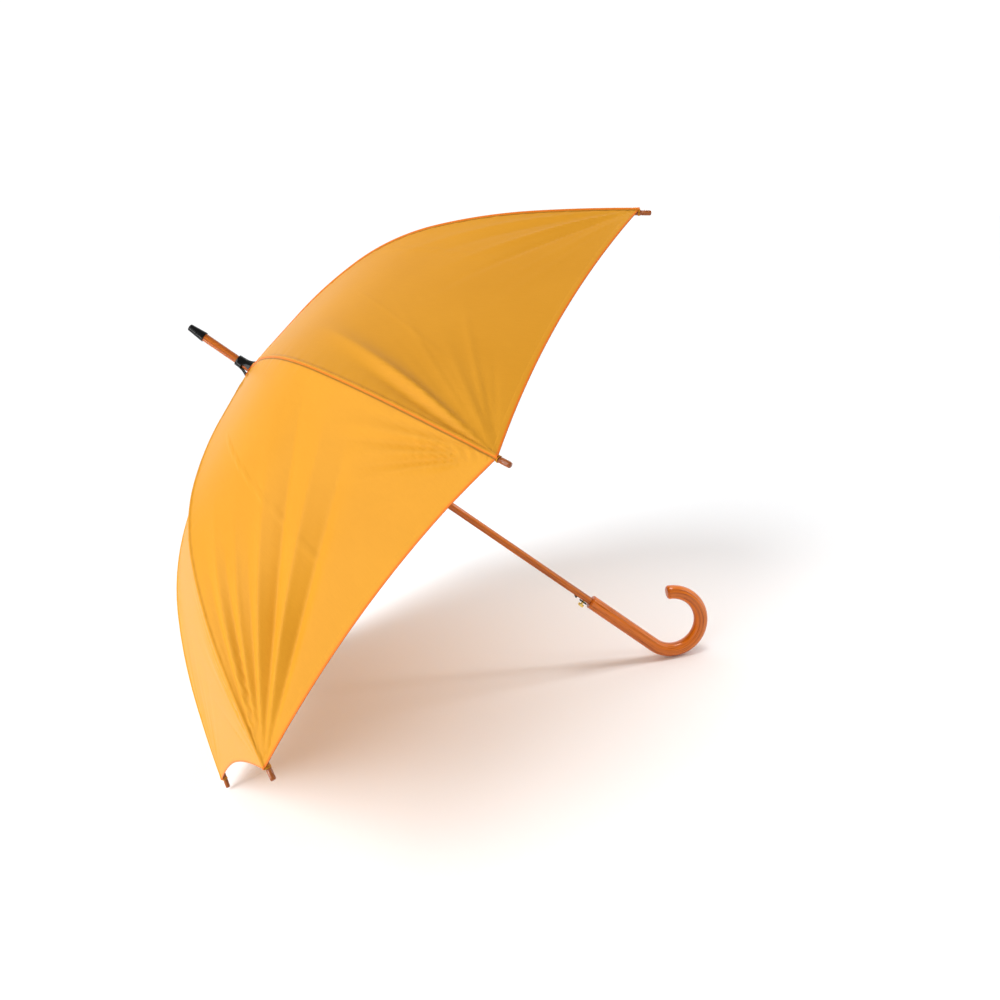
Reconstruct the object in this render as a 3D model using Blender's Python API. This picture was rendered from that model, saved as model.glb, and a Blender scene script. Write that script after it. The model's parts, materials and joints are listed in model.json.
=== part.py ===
"""Automatic stick umbrella: eight ribs, wooden shaft and crook handle, open and standing on two rib tips.

Lengths are in metres. Every piece is designed in the umbrella's own frame: +Z runs along the shaft to
the ferrule, the crown's top is the origin, and the lowest two rib tips lie on either side of -X. The
empty "umbrella" then leans that frame over until those two tips and the crook touch the ground, Z = 0.
"""

import math

import bmesh
import bpy
from mathutils import Matrix, Vector

MM = 0.001
GAP = 0.35 * MM  # kept between pieces that touch

# Ribs and cover
RIB_COUNT = 8
SECTOR = 2 * math.pi / RIB_COUNT
SEAM_TANGENTS = (78.4, 78.4, 69.2, 49.4, 40.4, 36.9)  # degrees off the shaft, at equal steps along a seam
SEAM_LENGTH = 614 * MM
SEAM_START = 8.5 * MM  # radius of the hole at the top of the cover
COVER_THICKNESS = 0.8 * MM
HEM_SCALLOP = 17 * MM  # how far the hem arcs inward between two tips
RIB_RADIUS = 1.5 * MM
RIB_DROP = 4.3 * MM  # from the seam down to the rib's middle
NECK = 0.5  # a rib is this much thinner where it enters its slot
TIP_RADIUS = 3.0 * MM
TIP_BORE = 1.65 * MM
TIP_REACH = 13.5 * MM  # past the end of the seam
TIP_COVERED = 9 * MM

# Crown, with a slot and an eye for each rib
CROWN_RADIUS = 13 * MM
CROWN_TOP = -2.4 * MM
CROWN_BOTTOM = -10.4 * MM
PIVOT_RADIUS = 9.6 * MM
PIVOT_Z = -6.0 * MM
WIRE_RADIUS = 0.6 * MM
EYE_HOLE = 1.0 * MM
EYE_RADIUS = 1.9 * MM
SLOT_HALF_WIDTH = 1.15 * MM

# Stretchers, clips and runner
CLIP_STATION = 0.455  # share of the seam
CLIP_PIN_DROP = 5.8 * MM  # from the rib's middle down to the clip's pin
STRETCHER_RADIUS = 1.3 * MM
STRETCHER_END_RADIUS = 12.2 * MM  # distance from the shaft's axis to the stretcher's free end
RUNNER_Z = -158 * MM  # middle of the runner's flange
RUNNER_FLANGE = 11 * MM
RUNNER_SLEEVE = 8.6 * MM
RUNNER_LENGTH = 77 * MM
SPRING_RADIUS = 8.1 * MM
SPRING_WIRE = 0.7 * MM
SPRING_TURNS = 11

# Shaft, ferrule and handle
SHAFT_RADIUS = 6.0 * MM
SHAFT_BORE = 6.4 * MM  # radius of every hole that the shaft runs through
SHAFT_TOP = 90 * MM
SHAFT_BOTTOM = -680 * MM
CAP_BOTTOM = 78 * MM
CAP_TOP = 103 * MM
COLLAR_TOP = 23 * MM
WINDOW_TURN = math.radians(-115)  # way that the collar's first window faces
HANDLE_TOP = -637 * MM
HANDLE_RADIUS = 11.3 * MM
CROOK_START = -770 * MM
CROOK_RADIUS = 49.5 * MM
CROOK_SWEEP = math.radians(223)
CROOK_TURN = math.radians(9)  # about the shaft, away from +X

# Release button and catch, on the side away from the crook
BUTTON_TURN = CROOK_TURN + math.pi
BUTTON_Z = -627 * MM
CATCH_Z = -609 * MM
LEAF_RADIUS = 3.6 * MM

COLOURS = {
    "orange_fabric": (0.90, 0.44, 0.07, 0.0, 0.55),
    "shaft_wood": (0.42, 0.17, 0.04, 0.0, 0.3),
    "handle_wood": (0.50, 0.19, 0.04, 0.0, 0.25),
    "tip_wood": (0.33, 0.14, 0.06, 0.0, 0.35),
    "black_plastic": (0.02, 0.02, 0.02, 0.0, 0.35),
    "black_steel": (0.05, 0.05, 0.055, 0.8, 0.4),
    "bright_steel": (0.62, 0.62, 0.64, 1.0, 0.3),
    "gold_metal": (0.83, 0.60, 0.20, 1.0, 0.25),
}


def material(name):
    """The Principled material of this name."""
    if name in bpy.data.materials:
        return bpy.data.materials[name]
    red, green, blue, metallic, roughness = COLOURS[name]
    made = bpy.data.materials.new(name)
    made.use_nodes = True
    shader = made.node_tree.nodes["Principled BSDF"]
    shader.inputs["Base Color"].default_value = (red, green, blue, 1)
    shader.inputs["Metallic"].default_value = metallic
    shader.inputs["Roughness"].default_value = roughness
    return made


def mesh_from(bm):
    """A mesh from this bmesh, with its faces pointing out and its round parts smooth."""
    bmesh.ops.recalc_face_normals(bm, faces=bm.faces)
    mesh = bpy.data.meshes.new("mesh")
    bm.to_mesh(mesh)
    bm.free()
    mesh.shade_smooth()
    mesh.set_sharp_from_angle(angle=math.radians(40))
    return mesh


def add(name, mesh, material_name, at=None, holder="umbrella"):
    """A named object, placed by a matrix in the frame of the object that holds it."""
    piece = bpy.data.objects.new(name, mesh)
    bpy.context.scene.collection.objects.link(piece)
    piece.parent = bpy.data.objects[holder]
    piece.matrix_local = at or Matrix()
    if not piece.data.materials:
        piece.data.materials.append(material(material_name))
    return piece


def turned(profile, sides):
    """A body turned about Z from (radius, z) points: a closed loop, or a line with both ends on the axis."""
    bm = bmesh.new()
    points = [bm.verts.new((radius, 0, z)) for radius, z in profile]
    edges = [bm.edges.new(pair) for pair in zip(points, points[1:])]
    if profile[0][0] > 0:
        edges.append(bm.edges.new((points[-1], points[0])))
    bmesh.ops.spin(
        bm,
        geom=points + edges,
        cent=(0, 0, 0),
        axis=(0, 0, 1),
        angle=2 * math.pi,
        steps=sides,
        use_merge=True,
    )
    bmesh.ops.remove_doubles(bm, verts=bm.verts, dist=1e-6)
    return mesh_from(bm)


def prism(outline, depth):
    """An outline of (x, y) points, extruded by depth both ways along Z."""
    bm = bmesh.new()
    face = bm.faces.new([bm.verts.new((x, y, -depth)) for x, y in outline])
    made = bmesh.ops.extrude_face_region(bm, geom=[face])["geom"]
    raised = [item for item in made if isinstance(item, bmesh.types.BMVert)]
    bmesh.ops.translate(bm, verts=raised, vec=(0, 0, 2 * depth))
    return mesh_from(bm)


def box(size, middle):
    bm = bmesh.new()
    bmesh.ops.create_cube(bm, size=1, matrix=Matrix.Translation(middle) @ Matrix.Diagonal((*size, 1)))
    return mesh_from(bm)


def rod(points, radius, resolution, thickness=None, closed=False):
    """A round rod along these points; thickness scales its radius at each of them."""
    curve = bpy.data.curves.new("rod", "CURVE")
    curve.dimensions = "3D"
    curve.bevel_depth = radius
    curve.bevel_resolution = resolution
    curve.use_fill_caps = not closed
    spline = curve.splines.new("POLY")
    spline.points.add(len(points) - 1)
    spline.use_cyclic_u = closed
    for i, point in enumerate(points):
        spline.points[i].co = (*point, 1)
        spline.points[i].radius = thickness[i] if thickness else 1
    guide = bpy.data.objects.new("rod", curve)
    bpy.context.scene.collection.objects.link(guide)
    bpy.context.view_layer.update()
    bm = bmesh.new()
    bm.from_mesh(guide.evaluated_get(bpy.context.evaluated_depsgraph_get()).to_mesh())
    bmesh.ops.remove_doubles(bm, verts=bm.verts, dist=1e-6)
    bpy.data.objects.remove(guide)
    bpy.data.curves.remove(curve)
    return mesh_from(bm)


def combined(mesh, other, operation):
    """Two closed meshes joined or cut by an exact Boolean."""
    first = bpy.data.objects.new("first", mesh)
    second = bpy.data.objects.new("second", other)
    for piece in (first, second):
        bpy.context.scene.collection.objects.link(piece)
    modifier = first.modifiers.new("Boolean", "BOOLEAN")
    modifier.operation = operation
    modifier.solver = "EXACT"
    modifier.object = second
    bpy.context.view_layer.update()
    result = bpy.data.meshes.new_from_object(first.evaluated_get(bpy.context.evaluated_depsgraph_get()))
    for piece in (first, second):
        bpy.data.objects.remove(piece)
    bm = bmesh.new()
    bm.from_mesh(result)
    bmesh.ops.remove_doubles(bm, verts=bm.verts, dist=1e-6)
    return mesh_from(bm)


def moved(mesh, matrix):
    mesh.transform(matrix)
    return mesh


def seam_tangent(share):
    """Angle between the seam and the shaft's axis, in radians, at this share of the seam's length."""
    place = min(max(share, 0), 1) * (len(SEAM_TANGENTS) - 1)
    low = min(int(place), len(SEAM_TANGENTS) - 2)
    mix = place - low
    return math.radians(SEAM_TANGENTS[low] * (1 - mix) + SEAM_TANGENTS[low + 1] * mix)


def seam_point(share, drop=0.0, steps=120):
    """(radius, z) on the seam at this share of its length, moved inward by drop."""
    radius, z = SEAM_START, 0.0
    for i in range(steps):
        angle = seam_tangent(share * (i + 0.5) / steps)
        radius += math.sin(angle) * share * SEAM_LENGTH / steps
        z -= math.cos(angle) * share * SEAM_LENGTH / steps
    angle = seam_tangent(share)
    return radius - drop * math.cos(angle), z - drop * math.sin(angle)


def rib_angle(k):
    """Direction of rib k about the shaft, in radians; ribs 4 and 5 are the two that touch the ground."""
    return -SECTOR * (k - 0.5)


def rib_plane(k):
    """Turns a piece that is drawn at y = 0, with X outward, into the plane of rib k."""
    return Matrix.Rotation(rib_angle(k), 4, "Z")


def across(x, z):
    """Stands a turned body on an axis along Y, at this place in the rib's plane."""
    return Matrix.Translation((x, 0, z)) @ Matrix.Rotation(math.pi / 2, 4, "X")


def clip_pivot():
    return seam_point(CLIP_STATION, RIB_DROP + CLIP_PIN_DROP)


def tip_direction():
    angle = seam_tangent(1)
    return Vector((math.sin(angle), 0, -math.cos(angle)))


def ring(inner, outer, half_height, sides):
    """A flat ring turned about Z."""
    profile = [(outer, half_height), (outer, -half_height), (inner, -half_height), (inner, half_height)]
    return turned(profile, sides)


def shaft_mesh():
    profile = [
        (0, SHAFT_TOP),
        (SHAFT_RADIUS - MM, SHAFT_TOP),
        (SHAFT_RADIUS, SHAFT_TOP - MM),
        (SHAFT_RADIUS, SHAFT_BOTTOM),
        (0, SHAFT_BOTTOM),
    ]
    slot_depth = SHAFT_RADIUS + 2 * MM
    slot = box(
        (slot_depth, 4.4 * MM, 33 * MM),
        (slot_depth / 2, 0, (CATCH_Z + BUTTON_Z) / 2),
    )
    return combined(turned(profile, 16), moved(slot, Matrix.Rotation(BUTTON_TURN, 4, "Z")), "DIFFERENCE")


def handle_mesh():
    """The crook: a straight grip with a bore for the shaft, and an arc with a rounded end."""
    points = [Vector((0, 0, HANDLE_TOP)), Vector((0, 0, HANDLE_TOP - 50 * MM))]
    points.append(Vector((0, 0, CROOK_START + 25 * MM)))
    arc_steps = 16
    for i in range(arc_steps + 1):
        turn = CROOK_SWEEP * i / arc_steps
        out = CROOK_RADIUS * (1 - math.cos(turn))
        points.append(Vector((out, 0, CROOK_START - CROOK_RADIUS * math.sin(turn))))
    end = Vector((math.sin(CROOK_SWEEP), 0, -math.cos(CROOK_SWEEP)))
    points += [points[-1] + end * 2.5 * MM, points[-1] + end * 4 * MM]
    thickness = [1] * (len(points) - 2) + [0.86, 0.6]
    crook = rod(points, HANDLE_RADIUS, 5, thickness)
    over, under = HANDLE_TOP + 2 * MM, SHAFT_BOTTOM - MM
    bore = turned([(0, over), (SHAFT_BORE, over), (SHAFT_BORE, under), (0, under)], 16)
    return moved(combined(crook, bore, "DIFFERENCE"), Matrix.Rotation(CROOK_TURN, 4, "Z"))


def cap_mesh():
    """Tapered end cap with a blind bore for the shaft."""
    return turned(
        [
            (0, CAP_TOP),
            (4.4 * MM, CAP_TOP),
            (5.1 * MM, CAP_TOP - 0.8 * MM),
            (7.4 * MM, CAP_BOTTOM + 2 * MM),
            (7.4 * MM, CAP_BOTTOM),
            (SHAFT_BORE, CAP_BOTTOM),
            (SHAFT_BORE, SHAFT_TOP + GAP),
            (0, SHAFT_TOP + GAP),
        ],
        16,
    )


def collar_mesh():
    """Flared collar that clamps the cover: a sleeve inside, and three legs with windows between them."""
    foot = 0.85 * MM
    sleeve = 7.4 * MM
    shell = turned(
        [
            (8.2 * MM, COLLAR_TOP),
            (8.8 * MM, COLLAR_TOP - 9 * MM),
            (10.6 * MM, COLLAR_TOP - 15 * MM),
            (14 * MM, foot),
            (12.4 * MM, foot),
            (9 * MM, COLLAR_TOP - 15 * MM),
            (8 * MM, COLLAR_TOP - 11 * MM),
            (sleeve, COLLAR_TOP - 12.5 * MM),
            (sleeve, foot + 1.2 * MM),
            (SHAFT_BORE, foot + 1.2 * MM),
            (SHAFT_BORE, COLLAR_TOP),
        ],
        16,
    )
    window = (12 * MM, 13 * MM, 11 * MM)
    for i in range(3):
        turn = Matrix.Rotation(WINDOW_TURN + i * 2 * math.pi / 3, 4, "Z")
        shell = combined(shell, moved(box(window, (14 * MM, 0, 2.2 * MM)), turn), "DIFFERENCE")
    return shell


def rosette_mesh():
    """Thin fabric washer, sloped like the top of the cover."""
    edge = 16 * MM
    slope = 1 / math.tan(seam_tangent(0))
    fall = (edge - SEAM_START) * slope
    lift = 0.4 * MM
    return turned(
        [
            (SEAM_START, lift + COVER_THICKNESS),
            (edge, lift + COVER_THICKNESS - fall),
            (edge, lift - fall),
            (SEAM_START, lift),
            (SHAFT_BORE, lift),
            (SHAFT_BORE, lift + COVER_THICKNESS),
        ],
        16,
    )


def crown_mesh():
    """Spool with a groove for the pivot wire and one slot for each rib."""
    groove_half = 1.0 * MM
    groove_bottom = PIVOT_RADIUS - 1.1 * MM
    crown = turned(
        [
            (CROWN_RADIUS, CROWN_TOP),
            (CROWN_RADIUS, PIVOT_Z + groove_half),
            (groove_bottom, PIVOT_Z + groove_half),
            (groove_bottom, PIVOT_Z - groove_half),
            (CROWN_RADIUS, PIVOT_Z - groove_half),
            (CROWN_RADIUS, CROWN_BOTTOM),
            (SHAFT_BORE, CROWN_BOTTOM),
            (SHAFT_BORE, CROWN_TOP),
        ],
        24,
    )
    top = PIVOT_Z + EYE_RADIUS + 0.6 * MM
    bottom = CROWN_BOTTOM - MM
    inner = PIVOT_RADIUS - EYE_RADIUS - 0.4 * MM
    size = (CROWN_RADIUS - inner + MM, 2 * SLOT_HALF_WIDTH, top - bottom)
    middle = (inner + size[0] / 2, 0, (top + bottom) / 2)
    for k in range(1, RIB_COUNT + 1):
        crown = combined(crown, moved(box(size, middle), rib_plane(k)), "DIFFERENCE")
    return crown


def wire_mesh():
    steps = 24
    points = []
    for i in range(steps):
        turn = 2 * math.pi * i / steps
        points.append(Vector((PIVOT_RADIUS * math.cos(turn), PIVOT_RADIUS * math.sin(turn), PIVOT_Z)))
    return rod(points, WIRE_RADIUS, 0, closed=True)


def rib_mesh():
    """One rib in its own plane: an eye on the crown's wire, a thin neck, and a bowed rod."""
    pairs = [(PIVOT_RADIUS + 1.45 * MM, PIVOT_Z - 0.1 * MM), (CROWN_RADIUS + 1.2 * MM, PIVOT_Z - 0.6 * MM)]
    thickness = [NECK, NECK]
    steps = 18
    for i in range(1, steps + 1):
        pairs.append(seam_point(i / steps, RIB_DROP))
        thickness.append(1 if i < steps else 0.8)
    end = Vector((pairs[-1][0], 0, pairs[-1][1])) + tip_direction() * 5 * MM
    pairs.append((end.x, end.z))
    thickness.append(0.8)
    rib = rod([(r, 0, z) for r, z in pairs], RIB_RADIUS, 1, thickness)
    eye = moved(ring(EYE_HOLE, EYE_RADIUS, 0.75 * MM, 12), across(PIVOT_RADIUS, PIVOT_Z))
    return combined(rib, eye, "UNION")


def tip_mesh():
    """Wooden end cap of a rib, turned about Z with its open end at the origin."""
    length = TIP_REACH + TIP_COVERED
    return turned(
        [
            (0, length),
            (TIP_RADIUS * 0.6, length),
            (TIP_RADIUS, length - 1.5 * MM),
            (TIP_RADIUS, 0.5 * MM),
            (TIP_RADIUS - 0.5 * MM, 0),
            (TIP_BORE, 0),
            (TIP_BORE, TIP_COVERED + 6 * MM),
            (0, TIP_COVERED + 6 * MM),
        ],
        12,
    )


def clip_mesh():
    """Bracket under a rib, drawn in that rib's plane: a web, two cheeks and the pin between them."""
    cheek, slot, web_top, web_bottom, foot = (s * MM for s in (2.6, 1.35, 1.85, 3.05, 7.4))
    outline = [
        (-cheek, web_top),
        (cheek, web_top),
        (cheek, foot),
        (slot, foot),
        (slot, web_bottom),
        (-slot, web_bottom),
        (-slot, foot),
        (-cheek, foot),
    ]
    bracket = prism(outline, 3 * MM)
    half = cheek - 0.4 * MM
    pin = turned([(0, half), (WIRE_RADIUS, half), (WIRE_RADIUS, -half), (0, -half)], 8)
    pin = moved(pin, Matrix.Translation((0, CLIP_PIN_DROP, 0)) @ Matrix.Rotation(math.pi / 2, 4, "Y"))
    angle = seam_tangent(CLIP_STATION)
    inward = Vector((-math.cos(angle), 0, -math.sin(angle)))
    along = Vector((math.sin(angle), 0, -math.cos(angle)))
    sideways = inward.cross(along)
    radius, z = seam_point(CLIP_STATION, RIB_DROP)
    place = Matrix((sideways, inward, along)).transposed().to_4x4()
    place.translation = (radius, 0, z)
    return moved(combined(bracket, pin, "UNION"), place)


def stretcher_mesh():
    """One stretcher in its rib's plane: an eye on the clip's pin, and a straight rod to the runner."""
    pin = Vector((clip_pivot()[0], 0, clip_pivot()[1]))
    end = Vector((STRETCHER_END_RADIUS, 0, RUNNER_Z))
    way = (end - pin).normalized()
    points = [pin + way * EYE_RADIUS * 0.8, pin + way * 6.5 * MM, pin + way * 8 * MM, end - way * MM, end]
    bar = rod(points, STRETCHER_RADIUS, 1, [0.7, 0.7, 1, 1, 0.6])
    eye = moved(ring(EYE_HOLE, EYE_RADIUS, 1.0 * MM, 12), across(pin.x, pin.z))
    return combined(bar, eye, "UNION")


def runner_mesh():
    top = RUNNER_Z + 4 * MM
    bottom = top - RUNNER_LENGTH
    return turned(
        [
            (RUNNER_FLANGE, top),
            (RUNNER_FLANGE, top - 2.6 * MM),
            (RUNNER_FLANGE - 1.2 * MM, top - 3.2 * MM),
            (RUNNER_FLANGE - 1.2 * MM, top - 4.8 * MM),
            (RUNNER_FLANGE, top - 5.4 * MM),
            (RUNNER_FLANGE, top - 8 * MM),
            (RUNNER_SLEEVE, top - 10 * MM),
            (RUNNER_SLEEVE, bottom + 5 * MM),
            (RUNNER_SLEEVE + 1.4 * MM, bottom + 4 * MM),
            (RUNNER_SLEEVE + 1.4 * MM, bottom),
            (SHAFT_BORE, bottom),
            (SHAFT_BORE, top),
        ],
        20,
    )


def spring_mesh():
    """Coil around the shaft, from the crown down to the runner."""
    top = CROWN_BOTTOM - SPRING_WIRE - GAP
    bottom = RUNNER_Z + 4 * MM + SPRING_WIRE + GAP
    per_turn = 10
    steps = SPRING_TURNS * per_turn
    points = []
    for i in range(steps + 1):
        turn = 2 * math.pi * i / per_turn
        height = top + (bottom - top) * i / steps
        points.append(Vector((SPRING_RADIUS * math.cos(turn), SPRING_RADIUS * math.sin(turn), height)))
    return rod(points, SPRING_WIRE, 0)


def housing_mesh():
    """Plate beside the shaft, level with the origin, with a square hole that guides the button's stem."""
    plate = box((2.1 * MM, 7 * MM, 13 * MM), (7.55 * MM, 0, 0))
    hole = box((6 * MM, 3.8 * MM, 3.8 * MM), (7.55 * MM, 0, 0))
    return combined(plate, hole, "DIFFERENCE")


def button_mesh():
    """Button head on a square stem that reaches in to the catch's leaf."""
    inner = LEAF_RADIUS + 1.2 * MM
    outer = 12 * MM
    stem = box((outer - inner, 3 * MM, 3 * MM), ((outer + inner) / 2, 0, 0))
    bm = bmesh.new()
    bm.from_mesh(box((4.6 * MM, 7 * MM, 9 * MM), (13.6 * MM, 0, 0)))
    bmesh.ops.bevel(bm, geom=bm.edges[:], offset=0.9 * MM, segments=2, affect="EDGES")
    return combined(mesh_from(bm), stem, "UNION")


def catch_mesh():
    """Leaf in the shaft's slot, with a sloped nib that holds the runner when the umbrella is shut."""
    low = -4.5 * MM
    nib = CATCH_Z - BUTTON_Z
    outline = [
        (LEAF_RADIUS - 0.8 * MM, low),
        (LEAF_RADIUS, low),
        (LEAF_RADIUS, nib - 5 * MM),
        (9 * MM, nib - 4 * MM),
        (LEAF_RADIUS + 1.2 * MM, nib + 4 * MM),
        (LEAF_RADIUS - 0.8 * MM, nib + 4 * MM),
    ]
    return moved(prism(outline, 1.6 * MM), Matrix.Rotation(math.pi / 2, 4, "X"))


def gore_mesh(k):
    """One panel of the cover, between rib k and the next, straight across and scalloped along its hem."""
    along, over = 12, 4
    edge = 0.4 * MM
    first, second = rib_angle(k), rib_angle(k + 1)
    bm = bmesh.new()
    grid = []
    for i in range(along + 1):
        row = []
        for j in range(over + 1):
            u = j / over
            reach = 1 - HEM_SCALLOP / SEAM_LENGTH * 4 * u * (1 - u)
            radius, z = seam_point(reach * i / along)
            start = Vector((radius * math.cos(first), radius * math.sin(first), z))
            end = Vector((radius * math.cos(second), radius * math.sin(second), z))
            inset = edge / (end - start).length
            row.append(bm.verts.new(start.lerp(end, inset + (1 - 2 * inset) * u)))
        grid.append(row)
    faces = []
    for i in range(along):
        for j in range(over):
            faces.append(bm.faces.new((grid[i][j], grid[i][j + 1], grid[i + 1][j + 1], grid[i + 1][j])))
    bmesh.ops.recalc_face_normals(bm, faces=faces)
    if faces[-1].normal.z < 0:
        bmesh.ops.reverse_faces(bm, faces=faces)
    bmesh.ops.solidify(bm, geom=faces, thickness=COVER_THICKNESS)
    return mesh_from(bm)


def ground_points():
    """Points of the crook's underside and of the two lowest tips, in the umbrella's frame."""
    crook, tips = [], []
    for i in range(60):
        turn = CROOK_SWEEP * i / 60
        for j in range(24):
            around = 2 * math.pi * j / 24
            out = CROOK_RADIUS - (CROOK_RADIUS + HANDLE_RADIUS * math.cos(around)) * math.cos(turn)
            down = CROOK_START - (CROOK_RADIUS + HANDLE_RADIUS * math.cos(around)) * math.sin(turn)
            crook.append(
                Matrix.Rotation(CROOK_TURN, 4, "Z") @ Vector((out, HANDLE_RADIUS * math.sin(around), down))
            )
    radius, z = seam_point(1, RIB_DROP)
    end = Vector((radius, 0, z)) + tip_direction() * TIP_REACH
    for k in (RIB_COUNT // 2, RIB_COUNT // 2 + 1):
        tips.append(rib_plane(k) @ end)
    return crook, tips


def leaning(angle):
    """The umbrella's frame with its shaft raised to this angle above the ground."""
    return Matrix.Rotation(angle - math.pi / 2, 4, "Y")


def lean_angle():
    """Angle between the shaft and the ground at which tips and crook touch it together."""
    crook, tips = ground_points()
    low, high = math.radians(20), math.radians(70)
    for _ in range(40):
        middle = (low + high) / 2
        crook_height = min((leaning(middle) @ p).z for p in crook)
        tip_height = min((leaning(middle) @ p).z for p in tips) - TIP_RADIUS
        if tip_height > crook_height:
            high = middle
        else:
            low = middle
    return middle


def build():
    for piece in list(bpy.data.objects):
        bpy.data.objects.remove(piece)
    frame = bpy.data.objects.new("umbrella", None)
    bpy.context.scene.collection.objects.link(frame)

    add("shaft", shaft_mesh(), "shaft_wood")
    add("handle", handle_mesh(), "handle_wood")
    add("ferrule_cap", cap_mesh(), "black_plastic")
    add("ferrule_collar", collar_mesh(), "black_plastic")
    add("rosette", rosette_mesh(), "orange_fabric")
    add("crown", crown_mesh(), "black_plastic")
    add("crown_wire", wire_mesh(), "bright_steel")
    add("runner", runner_mesh(), "black_plastic")
    add("opening_spring", spring_mesh(), "bright_steel")

    button_side = Matrix.Translation((0, 0, BUTTON_Z)) @ Matrix.Rotation(BUTTON_TURN, 4, "Z")
    add("button_housing", housing_mesh(), "black_plastic", button_side)
    add("push_button", button_mesh(), "gold_metal", button_side)
    add("runner_catch", catch_mesh(), "black_steel", button_side)

    rib, tip, clip, stretcher = rib_mesh(), tip_mesh(), clip_mesh(), stretcher_mesh()
    rib_pivot = Matrix.Translation((PIVOT_RADIUS, 0, PIVOT_Z))
    to_rib = rib_pivot.inverted()
    clip_pin = Matrix.Translation((clip_pivot()[0], 0, clip_pivot()[1]))
    moved(rib, to_rib)
    moved(stretcher, clip_pin.inverted())
    radius, z = seam_point(1, RIB_DROP)
    tip_base = Vector((radius, 0, z)) - tip_direction() * TIP_COVERED
    tip_place = Matrix.Translation(tip_base) @ tip_direction().to_track_quat("Z", "Y").to_matrix().to_4x4()
    for k in range(1, RIB_COUNT + 1):
        add(f"rib_{k}", rib, "black_steel", rib_plane(k) @ rib_pivot)
        add(f"rib_tip_{k}", tip, "tip_wood", to_rib @ tip_place, f"rib_{k}")
        add(f"stretcher_clip_{k}", clip, "bright_steel", to_rib, f"rib_{k}")
        add(f"stretcher_{k}", stretcher, "black_steel", to_rib @ clip_pin, f"rib_{k}")
        add(f"canopy_gore_{k}", gore_mesh(k), "orange_fabric", to_rib @ rib_plane(k).inverted(), f"rib_{k}")

    frame.matrix_world = leaning(lean_angle())
    bpy.context.view_layer.update()
    pieces = [piece for piece in bpy.data.objects if piece.type == "MESH"]
    corners = [piece.matrix_world @ v.co for piece in pieces for v in piece.data.vertices]
    low = Vector([min(c[i] for c in corners) for i in range(3)])
    high = Vector([max(c[i] for c in corners) for i in range(3)])
    to_origin = Matrix.Translation((-(low.x + high.x) / 2, -(low.y + high.y) / 2, -low.z))
    frame.matrix_world = to_origin @ frame.matrix_world
    bpy.context.view_layer.update()


build()
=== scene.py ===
"""Looks of the automatic stick umbrella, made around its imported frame: cover, wood, plastic and metal.

Lengths are in metres. Every piece is drawn in the umbrella's own frame, where +Z runs up the shaft to the
ferrule and the origin is the top of the cover, and is then put in place by PLACE.
"""

import json
import math

import bmesh
import bpy
import numpy as np
from mathutils import Matrix, Vector


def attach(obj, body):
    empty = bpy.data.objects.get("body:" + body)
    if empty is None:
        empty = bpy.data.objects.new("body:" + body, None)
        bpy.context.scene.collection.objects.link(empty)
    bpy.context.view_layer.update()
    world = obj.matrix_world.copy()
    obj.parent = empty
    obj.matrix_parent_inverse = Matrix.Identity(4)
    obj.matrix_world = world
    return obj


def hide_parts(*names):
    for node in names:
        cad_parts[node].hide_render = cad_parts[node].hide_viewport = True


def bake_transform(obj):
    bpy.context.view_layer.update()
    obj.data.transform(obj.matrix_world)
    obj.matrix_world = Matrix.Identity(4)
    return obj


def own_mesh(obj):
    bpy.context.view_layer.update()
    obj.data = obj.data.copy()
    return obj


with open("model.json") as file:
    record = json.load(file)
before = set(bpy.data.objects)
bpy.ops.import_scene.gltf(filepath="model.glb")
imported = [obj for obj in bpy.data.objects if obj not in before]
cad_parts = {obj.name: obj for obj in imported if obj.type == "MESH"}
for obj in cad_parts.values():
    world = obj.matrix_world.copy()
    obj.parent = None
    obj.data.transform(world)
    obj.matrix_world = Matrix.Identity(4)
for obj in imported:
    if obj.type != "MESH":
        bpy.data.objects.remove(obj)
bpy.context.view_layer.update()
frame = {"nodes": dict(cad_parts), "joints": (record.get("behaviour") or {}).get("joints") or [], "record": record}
MM = 0.001
RIBS = range(1, 9)
SECTOR = math.radians(45)

# The umbrella's own frame, from the joints
JOINTS = {joint["name"]: joint for joint in frame["joints"]}
UP = -Vector(JOINTS["runner_slide"]["axis"])
SIDE = Vector((0, 1, 0))
PIVOT_DROP = 6 * MM  # from the top of the cover down to the ribs' hinges
HINGES = [Vector(JOINTS[f"rib_{k}_hinge"]["pos_m"]) for k in RIBS]
TOP = sum(HINGES, Vector()) / len(HINGES) + UP * PIVOT_DROP
PLACE = Matrix.Translation(TOP) @ Matrix((SIDE.cross(UP), SIDE, UP)).transposed().to_4x4()

# Cover
SEAM_TANGENTS = (78.4, 78.4, 69.2, 49.4, 40.4, 36.9)  # degrees off the shaft, at equal steps along a seam
SEAM_LENGTH = 614 * MM
SEAM_START = 8.5 * MM
HEM_SCALLOP = 17 * MM
CLOTH_THICKNESS = 0.35 * MM
SAG = 2.5 * MM  # of the middle of a gore between its seams
CREASE_WIDTH = 1.6 * MM
HEM_WIDTH = 7.6 * MM
RIB_DROP = 4.3 * MM
TIP_REACH = 13.5 * MM
TIP_COVERED = 9 * MM

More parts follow.
